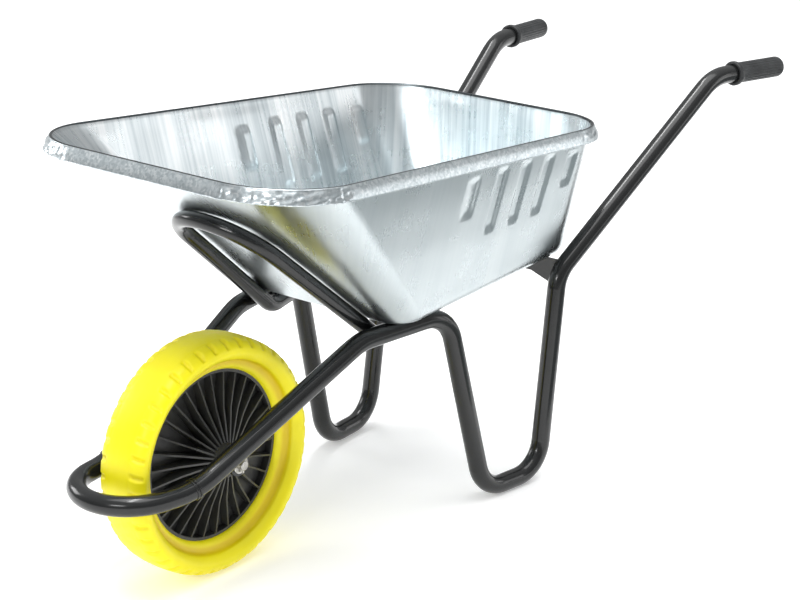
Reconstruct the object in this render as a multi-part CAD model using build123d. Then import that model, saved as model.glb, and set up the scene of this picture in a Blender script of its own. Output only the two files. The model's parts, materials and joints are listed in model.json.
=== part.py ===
from build123d import *
import os
from math import asin, atan, cos, degrees, hypot, radians, sin, sqrt, tan

# Builder's wheelbarrow: galvanised tray on a bent tube frame, with one solid tyred wheel.
# +X points forward to the wheel, +Y to the left, +Z up. The ground is z = 0 and the
# barrow is symmetric about the plane y = 0. All sizes are in millimetres.

# ---- tubes ----
TUBE_D = 32.0
TUBE_WALL = 1.5
BRACE_D = 26.0
BRACE_WALL = 1.5
MAIN_BEND = 60.0
HANDLE_BEND = 90.0
KNEE_BEND = 90.0
NOSE_BEND = 160.0
BRACE_FOOT_BEND = 45.0

# ---- wheel ----
WHEEL_D = 386.0
TYRE_W = 95.0
SEAT_D = 278.0
SEAT_W = 32.0
SEAT_WALL = 5.0
TYRE_TUCK = 11.0
TYRE_TUCK_SHARE = 0.4
TYRE_WALL_SHARE = 0.7
SHOULDER_IN = 7.0
SHOULDER_DROP = 8.0
WEB = 6.0
HUB_D = 54.0
HUB_L = 104.0
RIB_COUNT = 30
RIB_T = 3.0
RIB_HUB_DROP = 8.0
RIB_RIM_DROP = 0.5
RIB_WAIST = 4.0
RIB_ROOT = 3.0
AXLE_X = 488.0
AXLE_D = 16.0
RUNNING_GAP = 0.05
BUSH_WALL = 4.0
BUSH_FLANGE_RIM = 6.0
BUSH_FLANGE = 3.0
BUSH_L = 32.0

# ---- axle holding ----
BRACKET_T = 5.0
BRACKET_W = 40.0
AXIAL_PLAY = 0.5
SPACER_WALL = 3.0
SPACER_L = 12.5
WASHER_RIM = 7.0
WASHER_T = 2.5
PIN_D = 3.6
PIN_EYE_D = 9.0
PIN_EYE_WIRE_R = 1.2
PIN_LENGTH = 26.0
PIN_OFFSET = 4.0
AXLE_END = 5.0
AXLE_CHAMFER = 1.0

# ---- side tube: centreline corners ----
GRIP_END_X = -738.0
GRIP_END_Y = 269.0
GRIP_END_Z = 631.0
HANDLE_X = -566.0
HANDLE_Y = 243.0
HANDLE_Z = 639.0
REAR_JOINT_X = -177.0
REAR_JOINT_Y = 192.0
REAR_JOINT_Z = 359.0
REAR_FOOT_X = -124.0
REAR_FOOT_Y = 195.0
FRONT_FOOT_X = 12.0
FRONT_FOOT_Y = 180.0
CREST_X = 92.0
CREST_Y = 166.0
KNEE_X = 272.0
KNEE_Y = 136.0
KNEE_Z = 349.0
NOSE_X = 606.0
NOSE_Y = 92.7
HOOP_GAP = 33.0
HOOP_SIDE_GAP = 21.8

# ---- joint of the nose hoop, with places on the bend as shares from 0 to 1 ----
JOINT_SHARE = 0.5
JOINT_STEP = 0.01
SPIGOT_START = 0.2
SPIGOT_END = 0.52
PASSAGE_START = 0.15
PASSAGE_END = 0.7
HOLLOW_START = 0.58
SPIGOT_FIT = 0.1
RING_RISE = 1.6
RING_W = 4.0
RING_SPLIT = 1.4
RING_FIT = 0.3
RING_ROUND = 1.28

# ---- front brace hoop ----
BRACE_TIP_DROP = 113.0
BRACE_R = 95.0
BRACE_DROP = 14.0
BRACE_TAIL_X = 152.0
WELD_GAP = 0.3
BRACE_PASS_GAP = 1.5
TRAY_GAP = 0.3

# ---- tray ----
SHEET = 1.0
FLOOR_TILT = 2.0
FLOOR_FRONT_X = 225.0
FLOOR_REAR_X = -247.0
FLOOR_FRONT_HALF = 190.0
FLOOR_REAR_HALF = 174.0
FLOOR_FRONT_R = 50.0
FLOOR_REAR_R = 60.0
FLOOR_BEND = 24.0
RIM_FRONT_X = 595.0
RIM_FRONT_Z = 686.0
RIM_TILT = 4.5
RIM_REAR_X = -259.0
RIM_FRONT_HALF = 288.0
RIM_REAR_HALF = 247.0
RIM_FRONT_R = 125.0
RIM_REAR_R = 115.0
RIM_ROLL = 7.0
RIM_SKIRT = 21.0
RIM_FLARE = 15.0
RIM_ROUND = 4.2

# ---- rear cross member ----
CROSS_X = -186.0
CROSS_T = 3.0
CROSS_END_DEPTH = 52.0
CROSS_MID_DEPTH = 30.0
CROSS_TAPER = 62.0
CROSS_FLANGE = 30.0

# ---- tray fixings ----
BOLT_D = 8.0
BOLT_CLEARANCE = 0.3
BOLT_HEAD_D = 19.0
BOLT_HEAD = 3.6
BOLT_HEAD_ROUND = 3.06
NUT_WIDTH = 13.0
NUT_T = 6.5
FIXING_WASHER_D = 20.0
FIXING_WASHER_T = 1.6
BOLT_TAIL = 5.0
REAR_BOLT_Y = 105.0
FRONT_BOLT_X = 186.0
INSERT_D = 11.0
INSERT_L = 15.0

# ---- grips ----
GRIP_L = 128.0
GRIP_WALL = 2.5
GRIP_END_R = 8.0
GRIP_COLLAR_RISE = 3.5
GRIP_COLLAR_W = 9.0
GRIP_COLLAR_ROUND = 2.7
GRIP_END_WALL = 5.0
GRIP_FIT = 0.05

# ---- sizes that follow from the ones above ----
AXLE_Z = WHEEL_D / 2
TUBE_R = TUBE_D / 2
BRACE_TUBE_R = BRACE_D / 2
HOOP_TIP_X = AXLE_X + WHEEL_D / 2 + HOOP_GAP + TUBE_R
HOOP_R = TYRE_W / 2 + HOOP_SIDE_GAP + TUBE_R
BRACE_TIP_X = RIM_FRONT_X - BRACE_TIP_DROP
BUSH_D = AXLE_D + 2 * BUSH_WALL
BUSH_FLANGE_D = BUSH_D + 2 * BUSH_FLANGE_RIM
SPACER_D = AXLE_D + 2 * SPACER_WALL
WASHER_D = AXLE_D + 2 * WASHER_RIM
BRACKET_Y = HUB_L / 2 + BUSH_FLANGE + AXIAL_PLAY + SPACER_L
GRIP_D = TUBE_D + 2 * GRIP_WALL
GRIP_COLLAR_D = GRIP_D + 2 * GRIP_COLLAR_RISE


# ---- helpers ----
def mirrored(shape):
    """The same shape on the other side of the middle plane."""
    return mirror(shape, about=Plane.XZ)


def bent_wire(points, radii):
    """Straight runs joined by tangent arcs."""
    return FilletPolyline(*points, radius=radii)


def rod(wire, radius):
    """A solid round bar along a wire."""
    start = Plane(origin=wire @ 0, z_dir=wire % 0)
    return sweep(start * Circle(radius), path=wire)


def pipe(wire, diameter, wall):
    """A hollow round tube along a wire."""
    return rod(wire, diameter / 2) - rod(wire, diameter / 2 - wall)


def across(radius, y_low, y_high, x=AXLE_X, z=AXLE_Z):
    """A round bar along Y between two values of y."""
    start = Plane(origin=(x, y_low, z), z_dir=(0, 1, 0))
    return extrude(start * Circle(radius), y_high - y_low)


def bend_point(before, corner, after, radius, share):
    """The point at a share, 0 to 1, of the arc that rounds a corner."""
    back = (before - corner).normalized()
    ahead = (after - corner).normalized()
    turn = 180.0 - back.get_angle(ahead)
    reach = radius * tan(radians(turn / 2))
    start = corner + back * reach
    middle = (back + ahead).normalized()
    centre = corner + middle * (radius / cos(radians(turn / 2)))
    arm = start - centre
    swing = radians(turn * share)
    return centre + arm * cos(swing) - back * (radius * sin(swing))


# ---- planes and heights that several parts share ----
def floor_z(x):
    """Underside of the tray floor, which lies on the side tubes."""
    knee_top = KNEE_Z + TUBE_R / cos(radians(FLOOR_TILT))
    return knee_top + (KNEE_X - x) * tan(radians(FLOOR_TILT))


def rim_z(x):
    """Top of the tray rim."""
    return RIM_FRONT_Z - (RIM_FRONT_X - x) * tan(radians(RIM_TILT))


def run_y(x):
    """Sideways place of the side tube's run under the tray."""
    share = (KNEE_X - x) / (KNEE_X - CREST_X)
    return KNEE_Y + (CREST_Y - KNEE_Y) * share


def run_z(x):
    """Height of the side tube's run under the tray."""
    return KNEE_Z + (KNEE_X - x) * tan(radians(FLOOR_TILT))


def tilted(z_at_origin, angle):
    """A plane through (0, 0, z) whose x direction rises by an angle."""
    rise = radians(angle)
    return Plane(
        origin=(0, 0, z_at_origin),
        x_dir=(cos(rise), 0, sin(rise)),
        z_dir=(-sin(rise), 0, cos(rise)),
    )


# ---- frame ----
def side_corners():
    """Corners of the left side tube, from the grip to the nose."""
    grip_end = Vector(GRIP_END_X, GRIP_END_Y, GRIP_END_Z)
    handle = Vector(HANDLE_X, HANDLE_Y, HANDLE_Z)
    rear_joint = Vector(REAR_JOINT_X, REAR_JOINT_Y, REAR_JOINT_Z)
    rear_foot = Vector(REAR_FOOT_X, REAR_FOOT_Y, TUBE_R)
    front_foot = Vector(FRONT_FOOT_X, FRONT_FOOT_Y, TUBE_R)
    crest = Vector(CREST_X, CREST_Y, run_z(CREST_X))
    knee = Vector(KNEE_X, KNEE_Y, KNEE_Z)
    return [grip_end, handle, rear_joint, rear_foot, front_foot, crest, knee]


def nose_corner():
    return Vector(NOSE_X, NOSE_Y, AXLE_Z)


def hoop_tangent():
    """Where the straight part of the nose hoop meets its round part."""
    centre_x = HOOP_TIP_X - HOOP_R
    reach = hypot(NOSE_X - centre_x, NOSE_Y)
    lean = asin(HOOP_R / reach)
    base = atan(NOSE_Y / (centre_x - NOSE_X))
    slope = base - lean
    return Vector(centre_x + HOOP_R * sin(slope), HOOP_R * cos(slope), AXLE_Z)


def nose_arc(share):
    """A point on the bend that the joint sits in, from 0 on the side tube to 1 on the hoop."""
    knee = side_corners()[-1]
    return bend_point(knee, nose_corner(), hoop_tangent(), NOSE_BEND, share)


def nose_arc_wire(first, last):
    return ThreePointArc(nose_arc(first), nose_arc((first + last) / 2), nose_arc(last))


def side_wire():
    corners = side_corners()
    radii = [HANDLE_BEND, MAIN_BEND, MAIN_BEND, MAIN_BEND, MAIN_BEND, KNEE_BEND]
    straight = bent_wire(corners + [nose_arc(0.0)], radii)
    return Wire(straight.edges() + nose_arc_wire(0.0, JOINT_SHARE).edges())


def side_tube():
    return pipe(side_wire(), TUBE_D, TUBE_WALL)


def side_bar():
    """The side tube as a solid bar, to shape what is welded to it."""
    return rod(side_wire(), TUBE_R)


def hoop_wire(share):
    """Centreline of the nose hoop, starting at a share of the bend on each side."""
    tangent = hoop_tangent()
    tip = Vector(HOOP_TIP_X, 0, AXLE_Z)
    far = Vector(tangent.X, -tangent.Y, tangent.Z)
    loop = ThreePointArc(tangent, tip, far)
    run = Line(nose_arc(1.0), tangent)
    left = list(nose_arc_wire(share, 1.0).edges()) + list(run.edges())
    right = [edge.mirror(Plane.XZ) for edge in left]
    return Wire(left + list(loop.edges()) + right)


def nose_hoop():
    """Front loop round the wheel, with its reduced ends inside the side tubes."""
    spigot_r = TUBE_R - TUBE_WALL - SPIGOT_FIT
    spigot = rod(nose_arc_wire(SPIGOT_START, SPIGOT_END), spigot_r)
    passage = rod(nose_arc_wire(PASSAGE_START, PASSAGE_END), spigot_r - TUBE_WALL)
    skin = rod(hoop_wire(JOINT_SHARE), TUBE_R) + spigot + mirrored(spigot)
    hollow = rod(hoop_wire(HOLLOW_START), TUBE_R - TUBE_WALL)
    return skin - hollow - passage - mirrored(passage)


def joint_rings():
    """Double pressed bead where the side tube meets the nose hoop."""
    along = (nose_arc(JOINT_SHARE + JOINT_STEP) - nose_arc(JOINT_SHARE - JOINT_STEP)).normalized()
    rings = []
    for side in (-1, 1):
        centre = nose_arc(JOINT_SHARE) + along * (side * (RING_SPLIT + RING_W) / 2)
        start = Plane(origin=centre - along * (RING_W / 2), z_dir=along)
        outer = extrude(start * Circle(TUBE_R + RING_RISE), RING_W)
        outer = fillet(outer.edges(), RING_ROUND)
        bore = extrude(start * Circle(TUBE_R + RING_FIT), RING_W)
        rings.append(outer - bore)
    return Compound(children=[ring.solid() for ring in rings])


def front_wall_slope():
    """Slope of the tray's front wall, in degrees above the horizontal."""
    return degrees(atan((RIM_FRONT_Z - floor_z(FLOOR_FRONT_X)) / (RIM_FRONT_X - FLOOR_FRONT_X)))


def brace_plane_z(x):
    """Height of the brace's centreline plane, just under the tray's front wall."""
    slope = radians(front_wall_slope())
    drop = (BRACE_TUBE_R + TRAY_GAP) / cos(slope)
    return floor_z(FLOOR_FRONT_X) + (x - FLOOR_FRONT_X) * tan(slope) - drop


def brace_foot_x():
    """Where the brace's centreline plane comes down to the height of its tails."""
    rise = tan(radians(front_wall_slope()))
    fall = tan(radians(FLOOR_TILT))
    return BRACE_TAIL_X - (brace_plane_z(BRACE_TAIL_X) - brace_tail_z(BRACE_TAIL_X)) / (rise + fall)


def brace_tail_z(x):
    return run_z(x) - BRACE_DROP


def brace_tail_point(x, inboard):
    """A point of the tail, which lies along the inner, lower side of the side tube."""
    lean = hypot(1, (CREST_Y - KNEE_Y) / (KNEE_X - CREST_X))
    return Vector(x, run_y(x) - inboard * lean, brace_tail_z(x))


def front_brace():
    """Bent hoop that carries the sloping front wall of the tray."""
    clear = TUBE_R + BRACE_TUBE_R + WELD_GAP
    tail = brace_tail_point(BRACE_TAIL_X, sqrt(clear**2 - BRACE_DROP**2))
    foot = brace_tail_point(brace_foot_x(), clear + BRACE_PASS_GAP)
    stretch = cos(radians(front_wall_slope()))
    centre_u = BRACE_TIP_X / stretch - BRACE_R
    foot_u = foot.X / stretch
    reach = hypot(foot_u - centre_u, foot.Y)
    slope = atan(foot.Y / (centre_u - foot_u)) - asin(BRACE_R / reach)
    tangent_x = (centre_u + BRACE_R * sin(slope)) * stretch
    tangent = Vector(tangent_x, BRACE_R * cos(slope), brace_plane_z(tangent_x))
    tip = Vector(BRACE_TIP_X, 0, brace_plane_z(BRACE_TIP_X))
    far = Vector(tangent.X, -tangent.Y, tangent.Z)
    leg = bent_wire([tail, foot, tangent], [BRACE_FOOT_BEND])
    loop = ThreePointArc(tangent, tip, far)
    other = [edge.mirror(Plane.XZ) for edge in leg.edges()]
    wire = Wire(list(leg.edges()) + list(loop.edges()) + other)
    return pipe(wire, BRACE_D, BRACE_WALL)


def rear_cross_member(bars):
    """Pressed plate between the side tubes, with a flange under the tray floor."""
    half = REAR_JOINT_Y
    top = floor_z(CROSS_X)
    bottom = top - CROSS_END_DEPTH
    raised = top - CROSS_MID_DEPTH
    knee_y = half - CROSS_TAPER
    outline = [
        (-half, top),
        (half, top),
        (half, bottom),
        (knee_y, raised),
        (-knee_y, raised),
        (-half, bottom),
    ]
    face_plane = Plane(origin=(CROSS_X, 0, 0), x_dir=(0, 1, 0), z_dir=(1, 0, 0))
    web = extrude(face_plane * make_face(Polyline(*outline, close=True)), CROSS_T)
    flange_plane = tilted(floor_z(0), -FLOOR_TILT)
    reach = 1 / cos(radians(FLOOR_TILT))
    flange_x = (CROSS_X + CROSS_FLANGE / 2) * reach
    flange_half = knee_y + CROSS_TAPER / 2
    flange = flange_plane * Location((flange_x, 0, -CROSS_T / 2)) * Box(
        CROSS_FLANGE, 2 * flange_half, CROSS_T
    )
    above = flange_plane * Location((CROSS_X * reach, 0, CROSS_END_DEPTH / 2)) * Box(
        3 * CROSS_FLANGE, 4 * half, CROSS_END_DEPTH
    )
    plate = (web + flange) - above
    for x, y in rear_bolt_places():
        plate -= upright(x, y, BOLT_D / 2 + BOLT_CLEARANCE, -2 * CROSS_T, CROSS_T)
    for bar in bars:
        plate -= bar
    return plate.solids().sort_by(SortBy.VOLUME)[-1]


def axle_bracket(bar):
    """Bent strap from the side tube down to the axle."""
    share = (AXLE_X - KNEE_X) / (NOSE_X - KNEE_X)
    tube_y = KNEE_Y + (NOSE_Y - KNEE_Y) * share
    tube_z = KNEE_Z + (AXLE_Z - KNEE_Z) * share
    low = Vector(0, BRACKET_Y + BRACKET_T / 2, AXLE_Z - BRACKET_W / 2)
    hip = Vector(0, BRACKET_Y + BRACKET_T / 2, AXLE_Z + BRACKET_W / 2)
    top = Vector(0, tube_y - TUBE_R / 2, tube_z)
    line = Polyline(
        (low.Y, low.Z),
        (hip.Y, hip.Z),
        (top.Y, top.Z),
    )
    strap = trace(line, line_width=BRACKET_T)
    section = Plane(origin=(AXLE_X, 0, 0), x_dir=(0, 1, 0), z_dir=(1, 0, 0))
    body = extrude(section * strap, BRACKET_W / 2, both=True)
    eye = across(BRACKET_W / 2, BRACKET_Y, BRACKET_Y + BRACKET_T)
    lower = Pos(AXLE_X, BRACKET_Y + BRACKET_T / 2, AXLE_Z - BRACKET_W / 2) * Box(
        BRACKET_W, 2 * BRACKET_T, BRACKET_W
    )
    body = (body - lower) + eye
    body -= across(AXLE_D / 2 + RUNNING_GAP, BRACKET_Y - BRACKET_T, BRACKET_Y + 2 * BRACKET_T)
    body -= bar
    return body.solids().sort_by(Axis.Z)[0]


# ---- wheel ----
def axle_half_length():
    return BRACKET_Y + BRACKET_T + WASHER_T + PIN_OFFSET + AXLE_END


def pin_y():
    return BRACKET_Y + BRACKET_T + WASHER_T + PIN_OFFSET


def axle():
    bar = across(AXLE_D / 2, -axle_half_length(), axle_half_length())
    bar = chamfer(bar.edges().filter_by(GeomType.CIRCLE), AXLE_CHAMFER)
    for side in (-1, 1):
        bar -= Pos(AXLE_X, side * pin_y(), AXLE_Z) * Cylinder(PIN_D / 2, 2 * AXLE_D)
    return bar


def ring_along_y(outer, inner, y_low, y_high):
    return across(outer, y_low, y_high) - across(inner, y_low, y_high)


def axle_spacer():
    """Steel tube on the axle between the hub and the bracket."""
    inner_end = HUB_L / 2 + BUSH_FLANGE + AXIAL_PLAY
    return ring_along_y(SPACER_D / 2, AXLE_D / 2 + RUNNING_GAP, inner_end, BRACKET_Y)


def axle_washer():
    start = BRACKET_Y + BRACKET_T
    return ring_along_y(WASHER_D / 2, AXLE_D / 2 + RUNNING_GAP, start, start + WASHER_T)


def split_pin():
    shank = Pos(AXLE_X, pin_y(), AXLE_Z) * Cylinder(PIN_D / 2, PIN_LENGTH)
    eye_z = AXLE_Z + PIN_LENGTH / 2 + PIN_EYE_D / 2 - PIN_D / 2
    eye_plane = Plane(origin=(AXLE_X, pin_y(), eye_z), z_dir=(0, 1, 0))
    eye = eye_plane * Torus(PIN_EYE_D / 2, PIN_EYE_WIRE_R)
    return (shank + eye).solid()


def hub_bush():
    """Flanged plastic bush pressed into the hub, running on the axle."""
    end = HUB_L / 2
    sleeve = across(BUSH_D / 2, end - BUSH_L, end)
    flange = across(BUSH_FLANGE_D / 2, end, end + BUSH_FLANGE)
    return sleeve + flange - across(AXLE_D / 2 + RUNNING_GAP, end - BUSH_L, end + BUSH_FLANGE)


def wheel_plane():
    """Upright plane through the axle, measured across the wheel and outward."""
    return Plane(origin=(AXLE_X, 0, AXLE_Z), x_dir=(0, 1, 0), z_dir=(-1, 0, 0))


def wheel_section(points):
    """A face with corners at y (across) and r (out from the axle)."""
    return wheel_plane() * make_face(Polyline(*points, close=True))


def wheel_centre():
    """Ribbed moulding: hub, dished web, ribs and the seat for the tyre."""
    hub_r = HUB_D / 2
    seat_r = SEAT_D / 2
    inner_r = seat_r - SEAT_WALL
    seat = ring_along_y(seat_r, inner_r, -SEAT_W / 2, SEAT_W / 2)
    hub = across(hub_r, -HUB_L / 2, HUB_L / 2)
    web = ring_along_y(inner_r + SEAT_WALL / 2, hub_r / 2, -WEB / 2, WEB / 2)
    hub_edge = HUB_L / 2 - RIB_HUB_DROP
    rim_edge = SEAT_W / 2 - RIB_RIM_DROP
    mid_r = (hub_r + inner_r) / 2
    mid_edge = (hub_edge + rim_edge) / 2 - RIB_WAIST
    rib_face = wheel_section(
        [
            (-hub_edge, hub_r - RIB_ROOT),
            (hub_edge, hub_r - RIB_ROOT),
            (mid_edge, mid_r),
            (rim_edge, inner_r + RIB_ROOT),
            (-rim_edge, inner_r + RIB_ROOT),
            (-mid_edge, mid_r),
        ]
    )
    rib = extrude(rib_face, RIB_T / 2, both=True)
    spin = Axis((AXLE_X, 0, AXLE_Z), (0, 1, 0))
    body = seat + hub + web
    ribs = [rib.rotate(spin, k * 360 / RIB_COUNT) for k in range(RIB_COUNT)]
    body = body + ribs
    return (body - across(BUSH_D / 2, -HUB_L, HUB_L)).solid()


def tyre():
    """Solid polyurethane tyre on the wheel centre."""
    outer = WHEEL_D / 2
    seat_r = SEAT_D / 2
    half = TYRE_W / 2
    bead = SEAT_W / 2
    height = outer - seat_r
    wall = (half, seat_r + TYRE_WALL_SHARE * height)
    tuck = (half - TYRE_TUCK, seat_r + TYRE_TUCK_SHARE * height)
    shoulder = (half - SHOULDER_IN, outer - SHOULDER_DROP)
    foot = (bead, seat_r)
    far_wall, far_tuck, far_shoulder, far_foot = [(-y, r) for y, r in (wall, tuck, shoulder, foot)]
    curves = [
        ThreePointArc(foot, tuck, wall),
        Line(wall, shoulder),
        ThreePointArc(shoulder, (0, outer), far_shoulder),
        Line(far_shoulder, far_wall),
        ThreePointArc(far_wall, far_tuck, far_foot),
        Line(far_foot, foot),
    ]
    face = wheel_plane() * make_face(Wire([edge for curve in curves for edge in curve.edges()]))
    return revolve(face, Axis((AXLE_X, 0, AXLE_Z), (0, 1, 0)))


# ---- tray ----
def outline(plane, tilt, front, rear, half_front, half_rear, front_r, rear_r, grow):
    """Rounded trapezoid on a tilted plane, grown outward by a margin."""
    stretch = 1 / cos(radians(tilt))
    front_u = front * stretch + grow
    rear_u = rear * stretch - grow
    points = [
        (front_u, half_front + grow),
        (rear_u, half_rear + grow),
        (rear_u, -half_rear - grow),
        (front_u, -half_front - grow),
    ]
    radii = [front_r + grow, rear_r + grow, rear_r + grow, front_r + grow]
    edge = FilletPolyline(*points, radius=radii, close=True)
    return plane * make_face(edge)


def floor_outline(grow, lift):
    plane = tilted(floor_z(0), -FLOOR_TILT).offset(lift)
    return outline(
        plane,
        FLOOR_TILT,
        FLOOR_FRONT_X,
        FLOOR_REAR_X,
        FLOOR_FRONT_HALF,
        FLOOR_REAR_HALF,
        FLOOR_FRONT_R,
        FLOOR_REAR_R,
        grow,
    )


def rim_outline(grow, lift):
    plane = tilted(rim_z(0), RIM_TILT).offset(lift)
    return outline(
        plane,
        RIM_TILT,
        RIM_FRONT_X,
        RIM_REAR_X,
        RIM_FRONT_HALF,
        RIM_REAR_HALF,
        RIM_FRONT_R,
        RIM_REAR_R,
        grow,
    )


def tray_form(inset, bend):
    """The tray as a solid block, inset from its outer face."""
    block = loft([floor_outline(-inset, inset), rim_outline(-inset, 0)], ruled=True)
    bottom = block.faces().sort_by(Axis.Z)[0]
    return fillet(bottom.edges(), bend)


def tray():
    """Pressed sheet tray with a flared skirt rolled over all round its rim."""
    outer = tray_form(0, FLOOR_BEND)
    inner = tray_form(SHEET, FLOOR_BEND - SHEET)
    skirt_out = loft(
        [rim_outline(RIM_FLARE, -RIM_SKIRT), rim_outline(RIM_ROLL, 0)], ruled=True
    )
    skirt_in = loft(
        [rim_outline(RIM_FLARE - SHEET, -RIM_SKIRT), rim_outline(RIM_ROLL - SHEET, -SHEET)],
        ruled=True,
    )
    top = skirt_out.faces().sort_by(Axis.Z)[-1]
    skirt_out = fillet(top.edges(), RIM_ROUND)
    shell = (skirt_out - skirt_in) + (outer - inner)
    shell = shell - inner
    for x, y in rear_bolt_places() + front_bolt_places():
        shell -= upright(x, y, BOLT_D / 2 + BOLT_CLEARANCE, -SHEET, 2 * SHEET)
    return shell.solids().sort_by(SortBy.VOLUME)[-1]


# ---- tray fixings ----
def rear_bolt_places():
    x = CROSS_X + CROSS_T + (CROSS_FLANGE - CROSS_T) / 2
    return [(x, REAR_BOLT_Y), (x, -REAR_BOLT_Y)]


def front_bolt_places():
    return [(FRONT_BOLT_X, run_y(FRONT_BOLT_X)), (FRONT_BOLT_X, -run_y(FRONT_BOLT_X))]


def upright(x, y, radius, low, high):
    """A round bar square to the tray floor, measured from its underside."""
    plane = tilted(floor_z(0), -FLOOR_TILT)
    start = plane * Location((x / cos(radians(FLOOR_TILT)), y, low))
    return start * extrude(Circle(radius), high - low)


def cup_bolt(x, y, length):
    head = upright(x, y, BOLT_HEAD_D / 2, SHEET, SHEET + BOLT_HEAD)
    crown = head.edges().sort_by(Axis.Z)[-1]
    head = fillet(crown, BOLT_HEAD_ROUND)
    return (head + upright(x, y, BOLT_D / 2, -length, SHEET)).solid()


def bolts(places, length):
    return Compound(children=[cup_bolt(x, y, length) for x, y in places])


def rear_washer(x, y):
    low = -CROSS_T - FIXING_WASHER_T
    disc = upright(x, y, FIXING_WASHER_D / 2, low, -CROSS_T)
    return (disc - upright(x, y, BOLT_D / 2 + BOLT_CLEARANCE, low, -CROSS_T)).solid()


def rear_nut(x, y):
    low = -CROSS_T - FIXING_WASHER_T - NUT_T
    plane = tilted(floor_z(0), -FLOOR_TILT)
    start = plane * Location((x / cos(radians(FLOOR_TILT)), y, low))
    block = start * extrude(RegularPolygon(NUT_WIDTH / 2, 6, major_radius=False), NUT_T)
    return (block - upright(x, y, BOLT_D / 2, low, low + NUT_T)).solid()


def threaded_insert(x, y):
    """Blind insert flush with the top of the side tube."""
    body = upright(x, y, INSERT_D / 2, -INSERT_L, 0)
    body -= upright(x, y, BOLT_D / 2, -INSERT_L, 0)
    skin = rod(side_wire(), TUBE_R)
    if y < 0:
        skin = mirrored(skin)
    return (body & skin).solids().sort_by(SortBy.VOLUME)[-1]


# ---- grips ----
def grip():
    """Moulded hand grip over the end of the side tube."""
    grip_end, handle = side_corners()[:2]
    along = (handle - grip_end).normalized()
    outer_end = grip_end - along * GRIP_END_WALL
    start = Plane(origin=outer_end, z_dir=along)
    body = extrude(start * Circle(GRIP_D / 2), GRIP_L)
    body = fillet(body.edges().group_by(Axis.X)[0], GRIP_END_R)
    collar_plane = start.offset(GRIP_L - GRIP_COLLAR_W)
    collar = extrude(collar_plane * Circle(GRIP_COLLAR_D / 2), GRIP_COLLAR_W)
    collar = fillet(collar.edges(), GRIP_COLLAR_ROUND)
    bore = extrude(start.offset(GRIP_END_WALL) * Circle(TUBE_R + GRIP_FIT), GRIP_L)
    return ((body + collar) - bore).solid()


# ---- assembly ----
def pair(shape):
    return Compound(children=[shape, mirrored(shape)])


def build():
    left_bar = side_bar()
    right_bar = mirrored(left_bar)
    left_tube = side_tube()
    for x, y in front_bolt_places()[:1]:
        left_tube -= upright(x, y, INSERT_D / 2, -INSERT_L, BOLT_D)
    left_tube = left_tube.solid()
    rings = joint_rings()
    bracket = axle_bracket(left_bar)
    bush = hub_bush().solid()
    spacer = axle_spacer().solid()
    washer = axle_washer().solid()
    hand_grip = grip()
    insert = threaded_insert(*front_bolt_places()[0])
    rear_length = CROSS_T + FIXING_WASHER_T + NUT_T + BOLT_TAIL
    nodes = {
        "side_tube_left": left_tube,
        "side_tube_right": mirrored(left_tube),
        "nose_hoop": nose_hoop().solid(),
        "joint_rings_left": rings,
        "joint_rings_right": mirrored(rings),
        "front_brace": front_brace().solid(),
        "rear_cross_member": rear_cross_member([left_bar, right_bar]),
        "axle_bracket_left": bracket,
        "axle_bracket_right": mirrored(bracket),
        "axle": axle().solid(),
        "axle_spacer_left": spacer,
        "axle_spacer_right": mirrored(spacer),
        "axle_washers": pair(washer),
        "split_pins": pair(split_pin()),
        "hub_bush_left": bush,
        "hub_bush_right": mirrored(bush),
        "wheel_centre": wheel_centre(),
        "tyre": tyre().solid(),
        "tray": tray(),
        "front_tray_bolts": bolts(front_bolt_places(), INSERT_L),
        "threaded_inserts": pair(insert),
        "rear_tray_bolts": bolts(rear_bolt_places(), rear_length),
        "rear_tray_washers": Compound(children=[rear_washer(x, y) for x, y in rear_bolt_places()]),
        "rear_tray_nuts": Compound(children=[rear_nut(x, y) for x, y in rear_bolt_places()]),
        "grip_left": hand_grip,
        "grip_right": mirrored(hand_grip),
    }
    return nodes


os.makedirs("parts", exist_ok=True)
for name, shape in build().items():
    export_step(shape, f"parts/{name}.step")
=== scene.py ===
import json
import math

import bpy
import numpy as np
from mathutils import Matrix, Vector
from mathutils.bvhtree import BVHTree


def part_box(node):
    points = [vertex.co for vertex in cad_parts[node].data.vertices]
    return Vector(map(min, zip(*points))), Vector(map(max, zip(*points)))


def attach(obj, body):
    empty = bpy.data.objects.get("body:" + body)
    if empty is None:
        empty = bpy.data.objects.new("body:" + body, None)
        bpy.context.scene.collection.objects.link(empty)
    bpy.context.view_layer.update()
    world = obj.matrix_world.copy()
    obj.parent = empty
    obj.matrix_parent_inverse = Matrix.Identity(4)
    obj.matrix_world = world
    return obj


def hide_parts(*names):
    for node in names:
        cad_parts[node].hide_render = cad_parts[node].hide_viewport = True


# Looks of a builder's wheelbarrow: galvanised tray, black bent tubes, yellow solid tyre.
# Lengths are metres, in the CAD frame: +X to the wheel, +Y to the left, +Z up.

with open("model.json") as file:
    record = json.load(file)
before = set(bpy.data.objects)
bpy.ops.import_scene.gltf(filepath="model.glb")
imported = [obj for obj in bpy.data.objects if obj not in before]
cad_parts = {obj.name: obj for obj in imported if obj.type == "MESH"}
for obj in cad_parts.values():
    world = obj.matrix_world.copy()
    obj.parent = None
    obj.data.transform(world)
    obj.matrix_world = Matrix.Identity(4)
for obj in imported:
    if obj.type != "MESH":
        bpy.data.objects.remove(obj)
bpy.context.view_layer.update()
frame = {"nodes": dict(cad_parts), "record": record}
nodes = frame["nodes"]

# ---- camera ----
CAM_POSITION = (2.7544, 2.3094, 1.5501)
CAM_AZIMUTH = 40.124
CAM_ELEVATION = 18.946
CAM_ROLL = -0.264
CAM_LENS = 100.0
CAM_SENSOR = 36.0

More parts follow.
